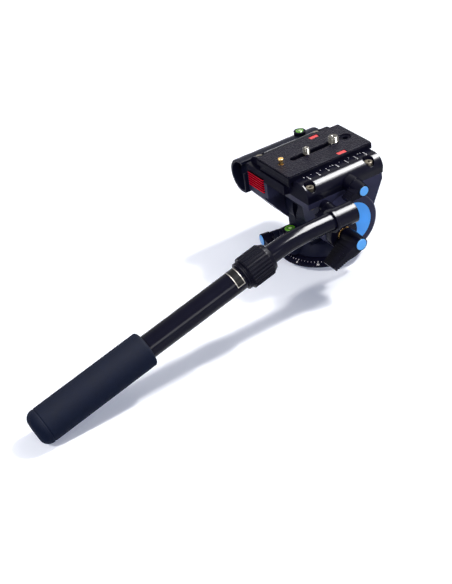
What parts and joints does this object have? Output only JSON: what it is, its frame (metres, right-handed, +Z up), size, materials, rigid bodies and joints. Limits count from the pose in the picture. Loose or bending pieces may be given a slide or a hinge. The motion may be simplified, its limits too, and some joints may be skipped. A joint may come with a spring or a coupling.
{
  "type": "fluid video head",
  "caption": "Compact fluid-drag video head with pan base, tilt cradle, sliding quick release plate, lock levers, bubble levels and a telescoping pan bar.",
  "frame": {"origin": "centre of the tripod thread, at the underside of the base, on the pan axis", "axes": "+Z up along the pan axis, +Y the lens direction, +X the side that carries the pan bar; the tilt axis is parallel to X"},
  "size_m": [0.1523, 0.373, 0.109],
  "materials": {
    "base_plate": "black anodised",
    "scale_ring": "black anodised with white degree marks",
    "pan_spindle": "turned",
    "pan_drag_rotor": "turned",
    "pan_nut": "zinc plated",
    "base_screws": "black oxide",
    "pan_housing": "matt painted casting",
    "pan_bushes": "sintered bronze",
    "pan_level_pod": "moulded",
    "pan_level_vial": "green liquid",
    "pan_lock_lever": "moulded",
    "pan_lock_cap": "blue",
    "pan_lock_stud": "zinc plated",
    "tilt_shaft": "ground",
    "tilt_shaft_nuts": "zinc plated",
    "tilt_drag_rotor": "turned",
    "tilt_drag_stator": "turned",
    "counterbalance_spring": "spring steel",
    "tilt_bushes": "sintered bronze",
    "tilt_cradle": "black painted casting",
    "tilt_cover_right": "moulded",
    "tilt_cover_left": "moulded",
    "badge_disc": "blue",
    "cover_screws": "black oxide",
    "bar_rosette": "machined teeth",
    "platform": "black anodised",
    "platform_screws": "yellow zinc plated",
    "side_housing": "moulded",
    "side_housing_pin": "turned",
    "top_level_pod": "moulded",
    "top_level_vial": "green liquid",
    "release_button": "red",
    "release_spring": "spring steel",
    "safety_catch": "hardened",
    "clamp_jaw": "black anodised",
    "quick_release_plate": "black anodised",
    "plate_pad": "pebbled",
    "plate_markers": "red",
    "quarter_screw": "nickel plated",
    "quarter_washer": "nickel plated",
    "three_eighths_screw": "nickel plated",
    "three_eighths_washer": "nickel plated",
    "video_pin": "polished",
    "tilt_lock_lever": "moulded",
    "tilt_lock_cap": "blue",
    "tilt_lock_stud": "zinc plated",
    "plate_lock_lever": "moulded",
    "plate_lock_cap": "blue",
    "plate_lock_stud": "zinc plated",
    "bar_lock_lever": "moulded",
    "bar_lock_cap": "blue",
    "bar_lock_stud": "zinc plated",
    "bar_lock_washer": "polished",
    "bar_bracket": "black painted casting",
    "bar_arm": "gloss black anodised tube",
    "bar_outer_tube": "gloss black anodised tube",
    "bar_collet": "moulded",
    "bar_collar": "ribbed moulding",
    "bar_grip": "matt rubber"
  },
  "bodies": {
    "base": {"base_plate": "base_plate", "scale_ring": "scale_ring", "pan_spindle": "pan_spindle", "pan_drag_rotor": "pan_drag_rotor", "pan_nut": "pan_nut", "base_screws": "base_screws"},
    "pan_body": {"pan_housing": "pan_housing", "pan_bushes": "pan_bushes", "pan_level_pod": "pan_level_pod", "pan_level_vial": "pan_level_vial", "tilt_shaft": "tilt_shaft", "tilt_shaft_nuts": "tilt_shaft_nuts", "tilt_drag_rotor": "tilt_drag_rotor"},
    "pan_lever": {"pan_lock_lever": "pan_lock_lever", "pan_lock_cap": "pan_lock_cap", "pan_lock_stud": "pan_lock_stud"},
    "tilt_body": {"tilt_cradle": "tilt_cradle", "tilt_drag_stator": "tilt_drag_stator", "counterbalance_spring": "counterbalance_spring", "tilt_bushes": "tilt_bushes", "tilt_cover_right": "tilt_cover_right", "tilt_cover_left": "tilt_cover_left", "badge_disc": "badge_disc", "cover_screws": "cover_screws", "bar_rosette": "bar_rosette", "platform": "platform", "platform_screws": "platform_screws", "side_housing": "side_housing", "side_housing_pin": "side_housing_pin", "top_level_pod": "top_level_pod", "top_level_vial": "top_level_vial", "release_spring": "release_spring"},
    "tilt_lever": {"tilt_lock_lever": "tilt_lock_lever", "tilt_lock_cap": "tilt_lock_cap", "tilt_lock_stud": "tilt_lock_stud"},
    "plate_lever": {"plate_lock_lever": "plate_lock_lever", "plate_lock_cap": "plate_lock_cap", "plate_lock_stud": "plate_lock_stud"},
    "jaw": {"clamp_jaw": "clamp_jaw"},
    "button": {"release_button": "release_button"},
    "catch": {"safety_catch": "safety_catch"},
    "plate": {"quick_release_plate": "quick_release_plate", "plate_pad": "plate_pad", "plate_markers": "plate_markers", "three_eighths_washer": "three_eighths_washer"},
    "small_washer": {"quarter_washer": "quarter_washer"},
    "small_screw": {"quarter_screw": "quarter_screw"},
    "large_screw": {"three_eighths_screw": "three_eighths_screw"},
    "pin": {"video_pin": "video_pin"},
    "bracket": {"bar_bracket": "bar_bracket", "bar_arm": "bar_arm", "bar_lock_washer": "bar_lock_washer"},
    "bar_lever": {"bar_lock_lever": "bar_lock_lever", "bar_lock_cap": "bar_lock_cap", "bar_lock_stud": "bar_lock_stud"},
    "bar_tube": {"bar_outer_tube": "bar_outer_tube", "bar_collet": "bar_collet", "bar_grip": "bar_grip"},
    "collar": {"bar_collar": "bar_collar"}
  },
  "joints": [
    {"name": "pan", "type": "hinge", "parent": "base", "child": "pan_body", "pos_m": [0, 0, 0.02], "axis": [0, 0, 1], "continuous": true},
    {"name": "pan_lever_turn", "type": "hinge", "parent": "pan_body", "child": "pan_lever", "pos_m": [-0.02104, -0.04421, 0.0224], "axis": [0.1736, 0.9848, 0], "range_deg": [-20, 50]},
    {"name": "tilt", "type": "hinge", "parent": "pan_body", "child": "tilt_body", "pos_m": [0, 0, 0.052], "axis": [1, 0, 0], "range_deg": [-70, 45]},
    {"name": "tilt_lever_turn", "type": "hinge", "parent": "tilt_body", "child": "tilt_lever", "pos_m": [0.05, -0.022, 0.075], "axis": [1, 0, 0], "range_deg": [-45, 38]},
    {"name": "plate_lever_turn", "type": "hinge", "parent": "tilt_body", "child": "plate_lever", "pos_m": [0.055, 0.0052, 0.087], "axis": [-1, 0, 0], "range_deg": [0, 90]},
    {"name": "jaw_slide", "type": "slide", "parent": "tilt_body", "child": "jaw", "axis": [1, 0, 0], "range_m": [0, 0.0008]},
    {"name": "button_press", "type": "slide", "parent": "tilt_body", "child": "button", "axis": [0, 1, 0], "range_m": [0, 0.003], "stiffness_N_per_m": 300, "springref_m": -0.003, "deforming": ["release_spring"]},
    {"name": "catch_drop", "type": "slide", "parent": "tilt_body", "child": "catch", "axis": [0, 0, -1], "range_m": [0, 0.0022]},
    {"name": "plate_slide", "type": "slide", "parent": "tilt_body", "child": "plate", "axis": [0, 1, 0], "range_m": [-0.036, 0.0345]},
    {"name": "small_screw_slide", "type": "slide", "parent": "plate", "child": "small_washer", "axis": [0, 1, 0], "range_m": [-0.014, 0.012]},
    {"name": "small_screw_turn", "type": "hinge", "parent": "small_washer", "child": "small_screw", "pos_m": [0, -0.0065, 0.1], "axis": [0, 0, 1], "continuous": true},
    {"name": "large_screw_turn", "type": "hinge", "parent": "plate", "child": "large_screw", "pos_m": [0, 0.0226, 0.1], "axis": [0, 0, 1], "continuous": true},
    {"name": "pin_press", "type": "slide", "parent": "plate", "child": "pin", "axis": [0, 0, -1], "range_m": [0, 0.003], "stiffness_N_per_m": 300, "springref_m": -0.002},
    {"name": "bar_swing", "type": "hinge", "parent": "tilt_body", "child": "bracket", "pos_m": [0.057, -0.0155, 0.052], "axis": [1, 0, 0], "range_deg": [-10, 60]},
    {"name": "bar_lever_turn", "type": "hinge", "parent": "bracket", "child": "bar_lever", "pos_m": [0.07, -0.0155, 0.052], "axis": [1, 0, 0], "range_deg": [-25, 90]},
    {"name": "bar_extend", "type": "slide", "parent": "bracket", "child": "bar_tube", "axis": [0, -0.9673, -0.2538], "range_m": [0, 0.11]},
    {"name": "collar_turn", "type": "hinge", "parent": "bar_tube", "child": "collar", "pos_m": [0.072, -0.11107, 0.06948], "axis": [0, -0.9673, -0.2538], "range_deg": [0, 90]}
  ],
  "couplings": [
    {"joint": "jaw_slide", "follows": "plate_lever_turn", "m_per_rad": 0.000509},
    {"joint": "catch_drop", "follows": "button_press", "ratio": 0.733}
  ]
}
